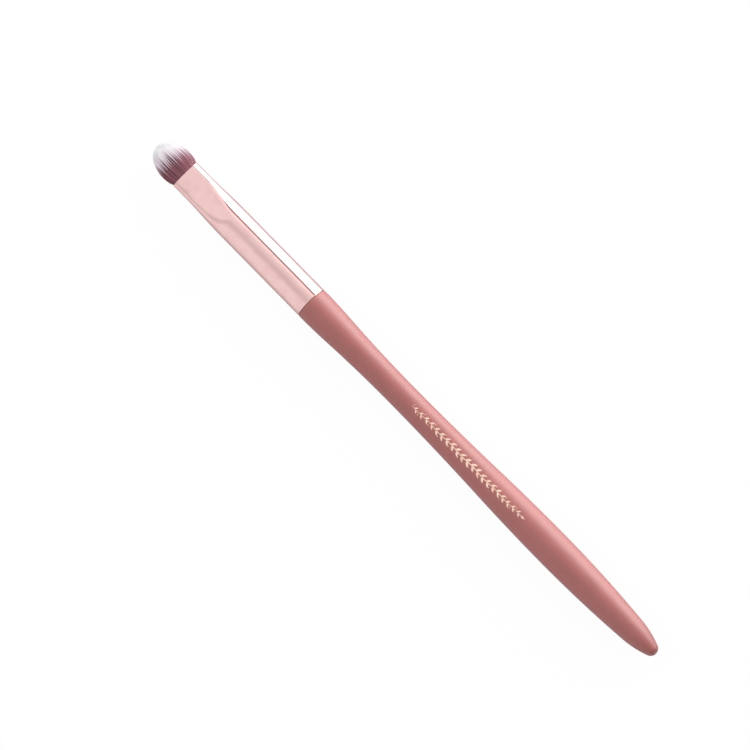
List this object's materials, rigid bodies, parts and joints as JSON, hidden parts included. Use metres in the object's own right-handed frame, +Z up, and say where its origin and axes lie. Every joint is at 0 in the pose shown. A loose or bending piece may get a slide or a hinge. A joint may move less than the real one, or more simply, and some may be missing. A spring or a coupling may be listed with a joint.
{
  "type": "eyeshadow brush",
  "caption": "Flat domed eyeshadow brush: a dense filament tuft set in a pressed metal ferrule, on a slim turned wooden handle with a satin lacquer.",
  "frame": {"origin": "on the table that the brush lies on, under the middle of its length", "axes": "+X along the brush from the handle's end to the tuft, +Y across the flat tuft, +Z up"},
  "size_m": [0.165, 0.0084, 0.0084],
  "materials": {
    "lacquer": "satin",
    "wood": "turned, sanded",
    "rose_gold": "polished, anodised",
    "filament": "fine filaments",
    "thread": "wound thread",
    "resin": "poured, glossy",
    "glue": "cured"
  },
  "bodies": {
    "brush": {"handle_core": "wood", "handle_lacquer": "lacquer", "tenon_glue": "glue", "ferrule": "rose_gold", "tuft_root": "filament", "root_binding": "thread", "resin_plug": "resin"},
    "tuft": {"tuft_head": "filament"}
  },
  "joints": [
    {"name": "tuft_bend", "type": "hinge", "parent": "brush", "child": "tuft", "pos_m": [0.073, 0, 0.00422], "axis": [0, 1, 0], "range_deg": [-30, 30], "stiffness_Nm_per_rad": 0.004, "deforming": ["tuft_head"]}
  ]
}
